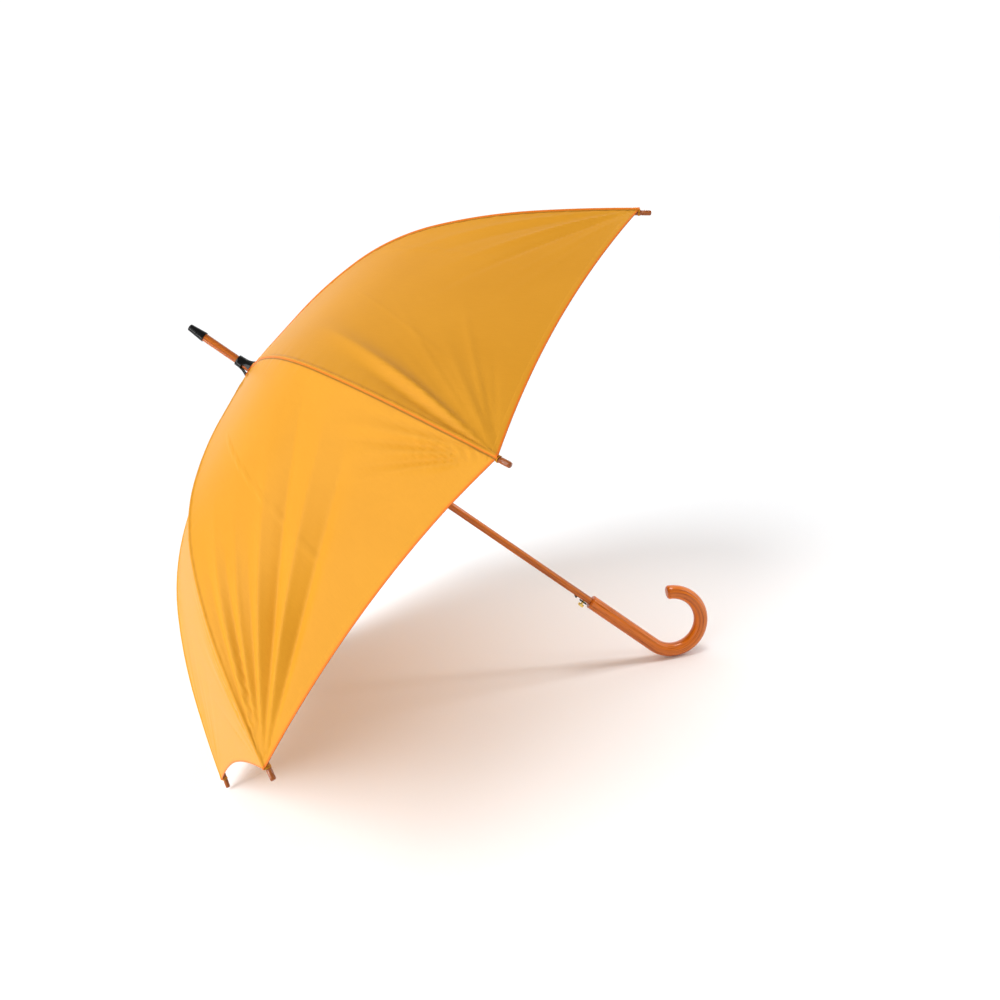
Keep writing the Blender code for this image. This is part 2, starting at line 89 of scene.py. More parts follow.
# Shaft, ferrule, handle and button
SHAFT_RADIUS = 6.0 * MM
SHAFT_BORE = 6.4 * MM  # radius of the holes that the shaft runs through
SHAFT_TOP = 90 * MM
SHAFT_BOTTOM = -680 * MM
CAP_BOTTOM = 78 * MM
CAP_TOP = 103 * MM
COLLAR_TOP = 23 * MM
WINDOW_TURN = math.radians(-115)  # way that the collar's first window faces
HANDLE_TOP = -637 * MM
HANDLE_RADIUS = 11.3 * MM
CROOK_START = -770 * MM
CROOK_RADIUS = 49.5 * MM
CROOK_SWEEP = math.radians(223)
CROOK_TURN = math.radians(9)
BUTTON_TURN = CROOK_TURN + math.pi
BUTTON_Z = -627 * MM
CATCH_Z = -609 * MM
SPRING_TOP = -11.45 * MM
SPRING_BOTTOM = -152.95 * MM
SPRING_RADIUS = 8.1 * MM
SPRING_WIRE = 0.7 * MM
THREAD_RADIUS = 0.28 * MM

# Colours of the cloth
FABRIC = (0.655, 0.292, 0.022)
FABRIC_DEEP = (0.62, 0.27, 0.018)
THREAD = (0.72, 0.17, 0.016)
# The last colour is painted shade: the dark shadow line in the furrow beside each seam
GROOVE_SHADE = (0.17, 0.085, 0.01)

# Camera and studio
CAMERA_LENS = 26.65
CAMERA_PLACE = (0.1257, -1.1044, 0.6432)
CAMERA_ANGLES = (-2.2, -16.68, 9.0)  # azimuth, elevation and roll, in degrees
SURROUND = 0.37  # strength of the world, but for the backdrop
BACKDROP = 1.06
BACKDROP_START = 0.25  # share of +Y in the direction at which the backdrop begins to rise
BACKDROP_END = 0.55
KEY_POWER = 2.8
KEY_ANGLE = math.radians(54)
KEY_PLACE = (-0.7, -0.4, 0.59)
# Each strip: name, place, target, width, length, power in watts
STRIPS = (
    ("left strip", (-1.5, -0.9, 0.27), (-0.25, 0, 0.4), 0.16, 1.5, 10),
    ("right strip", (1.75, -0.2, 0.7), (0.2, 0, 0.2), 0.2, 1.5, 6),
    ("small top box", (0.46, 0.01, 0.76), (0.33, 0, 0.05), 0.22, 0.3, 2.2),
)


def make_camera():
    """The view of the photograph: low, from one side, and rolled a little to the right."""
    data = bpy.data.cameras.new("camera")
    data.lens = CAMERA_LENS
    camera = bpy.data.objects.new("camera", data)
    bpy.context.scene.collection.objects.link(camera)
    azimuth, elevation, roll = (math.radians(a) for a in CAMERA_ANGLES)
    ahead = Vector(
        (
            math.sin(azimuth) * math.cos(elevation),
            math.cos(azimuth) * math.cos(elevation),
            math.sin(elevation),
        )
    )
    camera.rotation_mode = "QUATERNION"
    level = ahead.to_track_quat("-Z", "Y")
    camera.rotation_quaternion = level @ Matrix.Rotation(-roll, 3, "Z").to_quaternion()
    camera.location = CAMERA_PLACE
    bpy.context.scene.camera = camera


# Materials


def material(name, colour, roughness, metallic=0.0, coat=0.0):
    """A Principled material of this plain finish, with its node tree, to which a pattern is added."""
    made = bpy.data.materials.new(name)
    made.use_nodes = True
    shader = made.node_tree.nodes["Principled BSDF"]
    shader.inputs["Base Color"].default_value = (*colour, 1)
    shader.inputs["Roughness"].default_value = roughness
    shader.inputs["Metallic"].default_value = metallic
    shader.inputs["Coat Weight"].default_value = coat
    shader.inputs["Coat Roughness"].default_value = 0.06
    return made, made.node_tree, shader


def node(tree, kind, **values):
    """A node with these settings; a value whose name is one of its inputs is put on that input."""
    made = tree.nodes.new(kind)
    for name, value in values.items():
        socket = name.replace("_", " ")
        if socket in made.inputs:
            made.inputs[socket].default_value = value
        else:
            setattr(made, name, value)
    return made


def stretched(tree, source, scale):
    """Texture coordinates: the socket source times scale along each axis."""
    mapping = node(tree, "ShaderNodeMapping", Scale=scale)
    tree.links.new(source, mapping.inputs["Vector"])
    return mapping.outputs["Vector"]


def noise(tree, vector, scale, detail=3.0, rough=0.5):
    made = node(tree, "ShaderNodeTexNoise", Scale=scale, Detail=detail, Roughness=rough)
    tree.links.new(vector, made.inputs["Vector"])
    return made.outputs["Fac"]


def ramp(tree, value, *stops):
    """A colour ramp through (position, colour) stops."""
    made = node(tree, "ShaderNodeValToRGB")
    elements = made.color_ramp.elements
    while len(elements) < len(stops):
        elements.new(0.5)
    for element, (position, colour) in zip(elements, stops):
        element.position = position
        element.color = (*colour, 1)
    tree.links.new(value, made.inputs["Fac"])
    return made.outputs["Color"]


def mixed(tree, factor, first, second, blend="MIX"):
    """Two colours mixed by a factor; each is a socket or a plain value."""
    made = node(tree, "ShaderNodeMix", data_type="RGBA", blend_type=blend)
    for socket, value in ((made.inputs[0], factor), (made.inputs[6], first), (made.inputs[7], second)):
        if isinstance(value, bpy.types.NodeSocket):
            tree.links.new(value, socket)
        else:
            socket.default_value = value
    return made.outputs[2]


def bumped(tree, shader, height, strength, distance):
    made = node(tree, "ShaderNodeBump", Strength=strength, Distance=distance)
    tree.links.new(height, made.inputs["Height"])
    tree.links.new(made.outputs["Normal"], shader.inputs["Normal"])


def grade(tree, value, low, high):
    """A value from 0 to 1 spread over low to high."""
    made = node(tree, "ShaderNodeMapRange")
    made.inputs["To Min"].default_value = low
    made.inputs["To Max"].default_value = high
    tree.links.new(value, made.inputs["Value"])
    return made.outputs["Result"]


def attribute(tree, name, output="Fac"):
    return node(tree, "ShaderNodeAttribute", attribute_name=name).outputs[output]


def fabric_material():
    """Satin woven polyester: fine weave, slight shifts of colour, orange thread at hems and seams, and painted
    shade in the furrow beside each seam.
    """
    made, tree, shader = material("satin_polyester", FABRIC, 0.44)
    shader.inputs["Specular IOR Level"].default_value = 0.07
    cloth = node(tree, "ShaderNodeTexCoord").outputs["UV"]
    patches = noise(tree, stretched(tree, cloth, (9, 6, 1)), 1.0, 4.0)
    plain = ramp(tree, patches, (0.3, FABRIC_DEEP), (0.7, FABRIC))
    threads = noise(tree, stretched(tree, cloth, (2400, 60, 1)), 1.0, 2.0)
    slubs = ramp(tree, threads, (0.35, (0.965, 0.955, 0.94)), (0.65, (1, 1, 1)))
    woven = mixed(tree, 1.0, plain, slubs, "MULTIPLY")
    piped = mixed(tree, attribute(tree, "trim"), woven, (*THREAD, 1))
    # Painted shade: the furrow beside each seam is coloured dark, as its shadow
    shaded = mixed(tree, attribute(tree, "groove_shade"), piped, (*GROOVE_SHADE, 1))
    tree.links.new(shaded, shader.inputs["Base Color"])
    warp = node(tree, "ShaderNodeTexWave", Scale=560.0, bands_direction="X")
    weft = node(tree, "ShaderNodeTexWave", Scale=560.0, bands_direction="Y")
    for wave in (warp, weft):
        tree.links.new(cloth, wave.inputs["Vector"])
    weave = mixed(tree, 0.5, warp.outputs["Color"], weft.outputs["Color"])
    bumped(tree, shader, weave, 0.12, 0.00006)
    tree.links.new(grade(tree, patches, 0.38, 0.48), shader.inputs["Roughness"])
    return made


def wood_material(name, light, dark, streak, coat):
    """Varnished wood whose grain runs along the attribute grain's third axis."""
    made, tree, shader = material(name, light, 0.38, coat=coat)
    shader.inputs["Specular IOR Level"].default_value = 0.2
    grain = attribute(tree, "grain", "Vector")
    fine = noise(tree, stretched(tree, grain, (900, 900, 22)), 1.0, 5.0, 0.62)
    broad = noise(tree, stretched(tree, grain, (210, 210, 7)), 1.0, 3.0, 0.5)
    body = ramp(tree, broad, (0.32, dark), (0.62, light))
    lines = ramp(tree, fine, (0.3, streak), (0.47, (1, 1, 1)))
    tree.links.new(mixed(tree, 1.0, body, lines, "MULTIPLY"), shader.inputs["Base Color"])
    tree.links.new(grade(tree, fine, 0.22, 0.36), shader.inputs["Roughness"])
    bumped(tree, shader, fine, 0.06, 0.0002)
    return made


def worn_material(name, colour, roughness, metallic, scale, spread=0.08, gloss=0.5):
    """Moulded, painted or plated surface: its colour and gloss shift a little over it."""
    made, tree, shader = material(name, colour, roughness, metallic)
    shader.inputs["Specular IOR Level"].default_value = gloss
    place = node(tree, "ShaderNodeTexCoord").outputs["Object"]
    cloud = noise(tree, place, scale, 4.0, 0.6)
    darker = tuple(c * 0.8 for c in colour)
    tree.links.new(ramp(tree, cloud, (0.35, darker), (0.65, colour)), shader.inputs["Base Color"])
    rub = grade(tree, cloud, max(roughness - spread, 0.04), roughness + spread)
    tree.links.new(rub, shader.inputs["Roughness"])
    bumped(tree, shader, noise(tree, place, scale * 12, 2.0), 0.05, 0.0001)
    return made


# Mesh tools


def piece(name, bm_or_mesh, look, body, replaced=(), smooth=40):
    """Finishes a piece drawn in the umbrella's frame: places it, gives it its look and its CAD body.

    smooth is the angle in degrees above which an edge stays sharp; 0 leaves the shading alone.
    """
    if isinstance(bm_or_mesh, bmesh.types.BMesh):
        mesh = bpy.data.meshes.new(name)
        face_out(bm_or_mesh)
        bm_or_mesh.to_mesh(mesh)
        bm_or_mesh.free()
    else:
        mesh = bm_or_mesh
    mesh.transform(PLACE)
    if smooth:
        mesh.shade_smooth()
        mesh.set_sharp_from_angle(angle=math.radians(smooth))
    made = bpy.data.objects.new(name, mesh)
    bpy.context.scene.collection.objects.link(made)
    mesh.materials.append(look)
    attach(made, body)
    if replaced:
        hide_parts(*replaced)
    return made


def tube(rings, closed_ends=True):
    """A skin over rings, each (points, distance along): with flat ends, or joined end to end.

    The attribute grain holds each point's place across and along the skin.
    """
    bm = bmesh.new()
    grain = bm.verts.layers.float_vector.new("grain")
    rows = []
    for points, along in rings:
        row = []
        middle = sum(points, Vector()) / len(points)
        for i, point in enumerate(points):
            vertex = bm.verts.new(point)
            turn = 2 * math.pi * i / len(points)
            radius = (point - middle).length
            vertex[grain] = Vector((math.cos(turn) * radius, math.sin(turn) * radius, along))
            row.append(vertex)
        rows.append(row)
    count = len(rows[0])
    for low, high in zip(rows, rows[1:]):
        for i in range(count):
            j = (i + 1) % count
            bm.faces.new((low[i], low[j], high[j], high[i]))
    if closed_ends:
        bm.faces.new(rows[0])
        bm.faces.new(list(reversed(rows[-1])))
    else:
        for i in range(count):
            j = (i + 1) % count
            bm.faces.new((rows[-1][i], rows[-1][j], rows[0][j], rows[0][i]))
    return bm


def lathe(profile, sides, hollow=False):
    """Rings about Z through (radius, z) points; a hollow profile is a closed loop."""
    rings = []
    for radius, z in profile:
        points = []
        for i in range(sides):
            turn = 2 * math.pi * i / sides
            points.append(Vector((radius * math.cos(turn), radius * math.sin(turn), z)))
        rings.append((points, z))
    return tube(rings, closed_ends=not hollow)


def sweep(path, radii, sides):
    """A round bar along the points of path, which lie in the XZ plane."""
    rings = []
    along = 0.0
    for i, point in enumerate(path):
        if i:
            along += (point - path[i - 1]).length
        ahead = (path[min(i + 1, len(path) - 1)] - path[max(i - 1, 0)]).normalized()
        across = Vector((0, 1, 0))
        out = across.cross(ahead)
        ring = []
        for j in range(sides):
            turn = 2 * math.pi * j / sides
            ring.append(point + (across * math.cos(turn) + out * math.sin(turn)) * radii[i])
        rings.append((ring, along))
    return tube(rings)


def rounded(corner, steps, radius, z):
    """Points of a quarter round from the side of a turned body to its end, at radius and z."""
    points = []
    for i in range(steps + 1):
        turn = math.pi / 2 * i / steps
        points.append((radius - corner * (1 - math.cos(turn)), z + corner * (math.sin(turn) - 1)))
    return points


def box(size, middle, bevel=0.0, segments=3):
    bm = bmesh.new()
    bmesh.ops.create_cube(bm, size=1, matrix=Matrix.Translation(middle) @ Matrix.Diagonal((*size, 1)))
    if bevel:
        bmesh.ops.bevel(bm, geom=bm.edges[:], offset=bevel, segments=segments, affect="EDGES", profile=0.5)
    return bm


def face_out(bm):
    """Turns every face of a closed body outwards."""
    bmesh.ops.recalc_face_normals(bm, faces=bm.faces)
    if bm.calc_volume(signed=True) < 0:
        bmesh.ops.reverse_faces(bm, faces=bm.faces)


def mesh_of(bm):
    mesh = bpy.data.meshes.new("mesh")
    face_out(bm)
    bm.to_mesh(mesh)
    bm.free()
    return mesh


def combined(first, second, operation="DIFFERENCE"):
    """Two closed bmeshes, cut or joined by an exact Boolean."""
    made = []
    for bm in (first, second):
        part = bpy.data.objects.new("part", mesh_of(bm))
        bpy.context.scene.collection.objects.link(part)
        made.append(part)
    modifier = made[0].modifiers.new("Boolean", "BOOLEAN")
    modifier.operation = operation
    modifier.object = made[1]
    bpy.context.view_layer.update()
    depsgraph = bpy.context.evaluated_depsgraph_get()
    result = bpy.data.meshes.new_from_object(made[0].evaluated_get(depsgraph))
    for part in made:
        bpy.data.objects.remove(part)
    bm = bmesh.new()
    bm.from_mesh(result)
    return bm


def turned(bm, matrix):
    bm.transform(matrix)
    return bm


def refined(name, look):
    """A CAD node's own shape, welded and smoothed, as a new piece."""
    source = frame["nodes"][name]
    bm = bmesh.new()
    bm.from_mesh(source.data)
    bmesh.ops.remove_doubles(bm, verts=bm.verts, dist=1e-5)
    grain = bm.verts.layers.float_vector.new("grain")
    to_umbrella = PLACE.inverted()
    bm.transform(to_umbrella)
    for vertex in bm.verts:
        vertex[grain] = vertex.co
    body = next(b for b, nodes in frame["record"]["behaviour"]["bodies"].items() if name in nodes)
    return piece(f"{name}_finish", bm, look, body, [name], 35)


def bevelled(made, width):
    """Rounds a piece's sharp edges, which catch the light."""
    modifier = made.modifiers.new("Bevel", "BEVEL")
    modifier.width = width
    modifier.segments = 2
    modifier.limit_method = "ANGLE"
    modifier.angle_limit = math.radians(40)


# Cover


class Cover:
    """The sewn cover as one ring of points: rows run from the middle to the hem, columns run round it."""

    ROWS = 150
    EVEN_COLUMNS = 40
    OFFSETS = np.array([0, 0.5, 0.9, 1.3, 1.8, 2.6, 3.8, 6.0, 9.0]) * MM  # columns beside a seam
    HEM_ROWS = np.array([8.4, 7.8, 7.2, 6.4, 4.5, 2.6, 1.8, 1.1, 0.5, 0]) * MM  # before the hem's edge

    def __init__(self):
        steps = 2000
        share = (np.arange(steps) + 0.5) / steps
        angle = np.radians(np.interp(share, np.linspace(0, 1, len(SEAM_TANGENTS)), SEAM_TANGENTS))
        step = SEAM_LENGTH / steps
        self.table = np.linspace(0, SEAM_LENGTH, steps + 1)
        self.radius = SEAM_START + np.concatenate([[0], np.cumsum(np.sin(angle) * step)])
        self.height = -np.concatenate([[0], np.cumsum(np.cos(angle) * step)])
        even = np.linspace(0, SEAM_LENGTH - self.HEM_ROWS[0], self.ROWS, endpoint=False)
        self.along = np.concatenate([even, SEAM_LENGTH - self.HEM_ROWS])
        self.half = len(self.OFFSETS) + self.EVEN_COLUMNS - 1
        self.lay_out()
        self.shape()

    def half_width(self, along):
        return np.interp(along, self.table, self.radius) * math.sin(SECTOR / 2)

    def lay_out(self):
        """Distance of each column from its seam, and where each point lies along and across its gore."""
        half_width = self.half_width(self.along)[:, None]
        squeeze = np.minimum(1, half_width / (2.0 * self.OFFSETS[-1]))
        near = self.OFFSETS[None, :] * squeeze
        share = np.arange(1, self.EVEN_COLUMNS + 1)[None, :] / self.EVEN_COLUMNS
        far = near[:, -1:] + (half_width - near[:, -1:]) * share
        distance = np.concatenate([near, far], axis=1)
        across = distance / (2 * half_width)
        self.squeeze = squeeze
        self.gore_distance = np.concatenate([distance, distance[:, -2:0:-1]], axis=1)
        self.across = np.concatenate([across, 1 - across[:, -2:0:-1]], axis=1)
        scallop = 4 * self.across * (1 - self.across) * HEM_SCALLOP / SEAM_LENGTH
        self.reach = self.along[:, None] * (1 - scallop)
        self.reach_half = self.half_width(self.reach)

    def on_gore(self, k):
        """Points of gore k, straight across between ribs k and k + 1."""
        radius = np.interp(self.reach, self.table, self.radius)
        height = np.interp(self.reach, self.table, self.height)
        first, second = -SECTOR * (k - 0.5), -SECTOR * (k + 0.5)
        x = radius * (math.cos(first) * (1 - self.across) + math.cos(second) * self.across)
        y = radius * (math.sin(first) * (1 - self.across) + math.sin(second) * self.across)
        return np.stack([x, y, height], axis=2)

    def normals(self, points):
        """Outward unit normals of the whole ring."""
        around = np.roll(points, -1, axis=1) - np.roll(points, 1, axis=1)
        outward = np.gradient(points, axis=0)
        normal = np.cross(around, outward)
        return normal / np.linalg.norm(normal, axis=2, keepdims=True)

    def shape(self):
        flat = np.concatenate([self.on_gore(k) for k in RIBS], axis=1)
        lift = np.concatenate([self.folds(k) for k in RIBS], axis=1)
        normal = self.normals(flat)
        soft = flat + normal * lift[:, :, None]
        ridge = np.concatenate([self.ridge() for k in RIBS], axis=1)
        self.outer = soft + self.normals(soft) * ridge[:, :, None]
        self.outer_normal = self.normals(self.outer)
        under = np.concatenate([self.underside() for k in RIBS], axis=1)
        self.inner = soft - self.normals(soft) * under[:, :, None]
        self.inner_normal = -self.normals(self.inner)

    # Shape of the cloth within a gore, in metres outward

    def from_tip(self, side):
        """Distance from a corner of the gore, and angle there from the seam towards the hem."""
        across = self.across if side == 0 else 1 - self.across
        beside = across * 2 * self.reach_half
        back = SEAM_LENGTH - self.reach
        return np.hypot(beside, back), np.arctan2(beside, np.maximum(back, 1e-6))

    def fold(self, side, angle, width, length, height, bend):
        """A ridge, or with a negative height a furrow, that fans out from a corner of the gore.

        angle and width are in degrees, and bend turns the fold away from the seam over its length.
        """
        far, turn = self.from_tip(side)
        centre = math.radians(angle) + math.radians(bend) * np.clip(far / length, 0, 1)
        spread = math.radians(width)
        profile = np.exp(-np.abs((turn - centre) / spread) ** 1.5)
        rise = np.clip(far / (0.3 * length), 0, 1)
        fade = 1 - smooth_step((far - 0.35 * length) / (0.65 * length))
        return height * profile * rise * fade

    def crease(self, start, end, height):
        """A faint sharp line left by folding, from start to end: (across from the middle, along)."""
        x = (self.across - 0.5) * 2 * self.reach_half
        start, end = np.array(start), np.array(end)
        way = end - start
        length = np.linalg.norm(way)
        way = way / length
        run = (x - start[0]) * way[0] + (self.reach - start[1]) * way[1]
        off = (x - start[0]) * way[1] - (self.reach - start[1]) * way[0]
        inside = smooth_step(run / (0.2 * length)) * smooth_step((length - run) / (0.2 * length))
        return height * inside * np.exp(-((off / CREASE_WIDTH) ** 2))

    def folds(self, k):
        rng = np.random.default_rng(40 + k)
        edge = np.minimum(self.across, 1 - self.across)
        beside = edge * 2 * self.reach_half
        lift = -SAG * np.sin(np.pi * self.reach / SEAM_LENGTH) * (4 * self.across * (1 - self.across))
        for side in (0, 1):
            for i in range(9):
                angle = 5 + 58 * (i + rng.uniform(0.1, 0.9)) / 9
                width = rng.uniform(1.4, 3.2)
                length = rng.uniform(0.10, 0.30)
                height = rng.uniform(0.3, 0.9) * MM * rng.choice([-1, 1])
                lift += self.fold(side, angle, width, length, height, rng.uniform(-3, 6))
        for side, angle, width, length, height, bend in FOLDS.get(k, ()):
            lift += self.fold(side, angle, width, length, height * MM, bend)
        for start, end, height in CREASES.get(k, ()):
            lift += self.crease(start, end, height * MM)
        lift += self.pucker(rng, beside)
        lift += self.drift(rng, edge)
        return lift * smooth_step(beside / (3 * MM))

    def pucker(self, rng, beside):
        """Short ripples square to the seams, and gathers round the middle."""
        lift = np.zeros_like(beside)
        for side in (0, 1):
            wave = ripple(rng, self.reach, 17 * MM)
            mine = self.across < 0.5 if side == 0 else self.across >= 0.5
            lift += mine * 0.32 * MM * wave * np.exp(-beside / (11 * MM))
        gather = ripple(rng, self.across * SECTOR, math.radians(13))
        near = np.exp(-(((self.reach - 44 * MM) / (16 * MM)) ** 2))
        return lift + 1.4 * MM * gather * near

    def drift(self, rng, edge):
        """Slow waves over the whole gore."""
        lift = np.zeros_like(edge)
        x = (self.across - 0.5) * 2 * self.reach_half
        for _ in range(5):
            kx, ky = rng.uniform(-22, 22), rng.uniform(-16, 16)
            phase = rng.uniform(0, 2 * math.pi)
            lift += 0.45 * MM * np.sin(kx * x + ky * self.reach + phase)
        return lift * smooth_step(edge / 0.2) * smooth_step(self.reach / (120 * MM))

    def seam_side(self):
        """Signed distance from the nearer seam: positive in this gore's half next to its first rib."""
        sign = np.where(self.across <= 0.5, 1.0, -1.0)
        return self.gore_distance * sign / self.squeeze

    def ridge(self):
        """Raised lap of each seam, with a furrow at its foot, and the double cloth of the hem."""
        d = self.seam_side()
        lap = smooth_step((d + 3.8 * MM) / (2.2 * MM)) * smooth_step((1.5 * MM - d) / (0.9 * MM))
        furrow = -0.5 * MM * np.exp(-(((d - 2.3 * MM) / (0.9 * MM)) ** 2))
        seam = (1.25 * MM * lap + furrow) * self.squeeze
        edge = self.edge_distance()
        hem = 0.3 * MM * smooth_step((HEM_WIDTH - edge) / (0.8 * MM))
        stitch = -0.12 * MM * np.exp(-(((edge - 6.4 * MM) / (0.5 * MM)) ** 2))
        return seam + hem + stitch

    def underside(self):
        """How far the inner face lies below the cloth: more at the hem and at the seam's allowance."""
        edge = self.edge_distance()
        hem = 0.3 * MM * smooth_step((HEM_WIDTH - edge) / (0.8 * MM))
        allowance = smooth_step((4.0 * MM - np.abs(self.seam_side())) / (1.2 * MM)) * self.squeeze
        return CLOTH_THICKNESS + hem + 1.3 * MM * allowance

    def edge_distance(self):
        return SEAM_LENGTH - self.along[:, None] * np.ones_like(self.across)

    def trim(self):
        """Where orange thread shows: the foot of each seam's lap and the hem's edge."""
        d = self.seam_side()
        seam = np.exp(-(((d - 0.9 * MM) / (0.75 * MM)) ** 2))
        hem = smooth_step((2.9 * MM - self.edge_distance()) / (1.2 * MM))
        return np.maximum(seam * smooth_step(self.reach / (25 * MM)), hem)

    def groove_shade(self):
        """Painted shade: where the furrow beside each seam is coloured dark, as the shadow that falls in it."""
        d = self.seam_side()
        return 0.9 * np.exp(-(((d - 2.4 * MM) / (0.8 * MM)) ** 2)) * smooth_step(self.reach / (25 * MM))

    def panel(self, k):
        """One piece of the cover: half a gore on each side of rib k, with an outer and an inner face."""
        n = self.half
        total = self.outer.shape[1]
        columns = np.arange((k - 1) * 2 * n - n, (k - 1) * 2 * n + n + 1)
        within = np.arange(-n, n + 1) % (2 * n)
        rows = len(self.along)
        wide = len(columns)
        points, normals = [], []
        for source, normal in ((self.outer, self.outer_normal), (self.inner, self.inner_normal)):
            points.append(source[:, columns % total].reshape(-1, 3))
            normals.append(normal[:, columns % total].reshape(-1, 3))
        faces = []
        inner = rows * wide
        for i in range(rows - 1):
            for j in range(wide - 1):
                a = i * wide + j
                faces.append((a, a + 1, a + wide + 1, a + wide))
                faces.append((inner + a, inner + a + wide, inner + a + wide + 1, inner + a + 1))
        for j in range(wide - 1):
            top, low = j, (rows - 1) * wide + j
            faces.append((top + 1, top, inner + top, inner + top + 1))
            faces.append((low, low + 1, inner + low + 1, inner + low))
        for i in range(rows - 1):
            left, right = i * wide, i * wide + wide - 1
            faces.append((left, left + wide, inner + left + wide, inner + left))
            faces.append((right + wide, right, inner + right, inner + right + wide))
        mesh = bpy.data.meshes.new(f"canopy_panel_{k}")
        mesh.from_pydata(np.concatenate(points).tolist(), [], faces)
        x = (self.across - 0.5) * 2 * self.reach_half
        uv = np.stack([x, self.reach], axis=2)[:, within].reshape(-1, 2)
        self.set_uv(mesh, uv, inner, wide)
        # The second attribute is painted shade: how dark the furrow beside each seam is coloured
        for name, values in (("trim", self.trim()), ("groove_shade", self.groove_shade())):
            layer = mesh.attributes.new(name, "FLOAT", "POINT")
            flat = values[:, within].reshape(-1)
            layer.data.foreach_set("value", np.concatenate([flat, flat]).astype(np.float32))
        return mesh, np.concatenate(normals)

    def set_uv(self, mesh, uv, inner, wide):
        """Cloth coordinates in metres.

        The faces left of the rib belong to the gore before, so at the rib they take that gore's far side.
        """
        layer = mesh.uv_layers.new(name="UVMap")
        corner = np.zeros(len(mesh.loops), int)
        mesh.loops.foreach_get("vertex_index", corner)
        corner %= inner
        column = corner % wide
        face = np.zeros(len(mesh.loops), int)
        starts = np.array([p.loop_start for p in mesh.polygons])
        face[starts] = 1
        face = np.cumsum(face) - 1
        lowest = np.full(len(mesh.polygons), wide)
        np.minimum.at(lowest, face, column)
        values = uv[corner]
        seam = (column == self.half) & (lowest[face] < self.half)
        values[seam, 0] *= -1
        layer.data.foreach_set("uv", values.astype(np.float32).ravel())


def smooth_step(x):
    x = np.clip(x, 0, 1)
    return x * x * (3 - 2 * x)


def ripple(rng, x, period):
    """An uneven wave of about this period and of height 1."""
    wave = np.zeros_like(x)
    for factor in (0.62, 1.0, 1.7):
        wave += np.sin(2 * math.pi * x / (period * factor) + rng.uniform(0, 2 * math.pi))
    return wave / 1.8


# Folds seen in each gore: corner (0 first rib, 1 next rib), angle, width, length, height in mm, bend
FOLDS = {
    1: (
        (1, 15.5, 2.6, 0.36, 6.2, -5.0),
        (1, 8, 2.2, 0.24, -3.2, 0.0),
        (1, 38, 5.0, 0.18, 1.2, 0.0),
        (0, 8, 2.2, 0.32, 1.8, 2.0),
        (0, 15, 2.4, 0.26, -2.0, 2.0),
        (0, 24, 3.0, 0.24, 2.2, 4.0),
        (0, 36, 3.0, 0.20, -1.8, 4.0),
    ),
    2: (
        (0, 6, 1.8, 0.20, -2.2, 2.0),
        (0, 11, 1.8, 0.24, 2.4, 3.0),
        (0, 16, 1.8, 0.22, -3.0, 4.0),
        (0, 22, 2.0, 0.20, 2.8, 4.0),
        (0, 28, 2.2, 0.18, -3.0, 4.0),
        (0, 36, 3.0, 0.17, 2.4, 0.0),
        (0, 46, 3.0, 0.15, -1.6, 0.0),
        (1, 6, 1.8, 0.28, -2.6, 0.0),
        (1, 10, 1.6, 0.31, 3.0, 1.0),
        (1, 14, 1.6, 0.25, -3.6, 1.0),
        (1, 19, 2.0, 0.29, 3.0, 2.0),
        (1, 25, 2.2, 0.24, -3.0, 2.0),
        (1, 32, 2.8, 0.34, 3.4, 2.0),
        (1, 40, 3.4, 0.42, -5.0, 4.0),
        (1, 49, 3.2, 0.38, 4.6, 4.0),
        (1, 58, 3.0, 0.36, -4.4, 3.0),
    ),
    3: (
        (0, 9, 2.4, 0.30, 2.6, 0.0),
        (0, 15, 2.4, 0.26, -2.6, 0.0),
        (0, 24, 3.0, 0.22, 2.0, 0.0),
        (1, 12, 3.0, 0.26, 1.6, 0.0),
    ),
}
# Creases seen in each gore: start and end in metres (across from the middle, along), height in mm
CREASES = {
    1: (((-0.02, 0.30), (0.10, 0.52), 0.35), ((-0.10, 0.28), (-0.06, 0.55), 0.3)),
    2: (((0.02, 0.22), (0.0, 0.58), 1.1),),
}


def rib_plane(k):
    return Matrix.Rotation(-SECTOR * (k - 0.5), 4, "Z")


def add_cover(look):
    cover = Cover()
    for k in RIBS:
        mesh, normals = cover.panel(k)
        made = piece(f"canopy_panel_{k}", mesh, look, f"rib_{k}", [f"canopy_gore_{k}"], 0)
        mesh.shade_smooth()
        placed = normals @ np.array(PLACE.to_3x3()).T
        mesh.normals_split_custom_set_from_vertices(placed.tolist())
        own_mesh(made)
    return cover


# Wood, plastic and metal


def add_shaft(look):
    """The rod, with a rounded top and a slot for the catch and the button."""
    profile = list(reversed(rounded(1 * MM, 4, SHAFT_RADIUS, SHAFT_TOP)))
    steps = 24
    run = SHAFT_BOTTOM - SHAFT_TOP + 1.5 * MM
    for i in range(steps + 1):
        profile.append((SHAFT_RADIUS, SHAFT_TOP - 1.5 * MM + run * i / steps))
    depth = SHAFT_RADIUS + 2 * MM
    slot = box((depth, 4.4 * MM, 33 * MM), (depth / 2 + 0.6 * MM, 0, (CATCH_Z + BUTTON_Z) / 2))
    cut = combined(lathe(profile, 48), turned(slot, Matrix.Rotation(BUTTON_TURN, 4, "Z")))
    piece("shaft_rod", cut, look, "shaft", ["shaft"])


def crook_path():
    """Centre line of the handle, from its top end to the end of the hook."""
    path = [Vector((0, 0, HANDLE_TOP - 1.2 * MM * i)) for i in range(3)]
    straight = 30
    for i in range(1, straight + 1):
        path.append(Vector((0, 0, path[2].z + (CROOK_START - path[2].z) * i / straight)))
    arc = 72
    for i in range(1, arc + 1):
        turn = CROOK_SWEEP * i / arc
        out = CROOK_RADIUS * (1 - math.cos(turn))
        path.append(Vector((out, 0, CROOK_START - CROOK_RADIUS * math.sin(turn))))
    return path


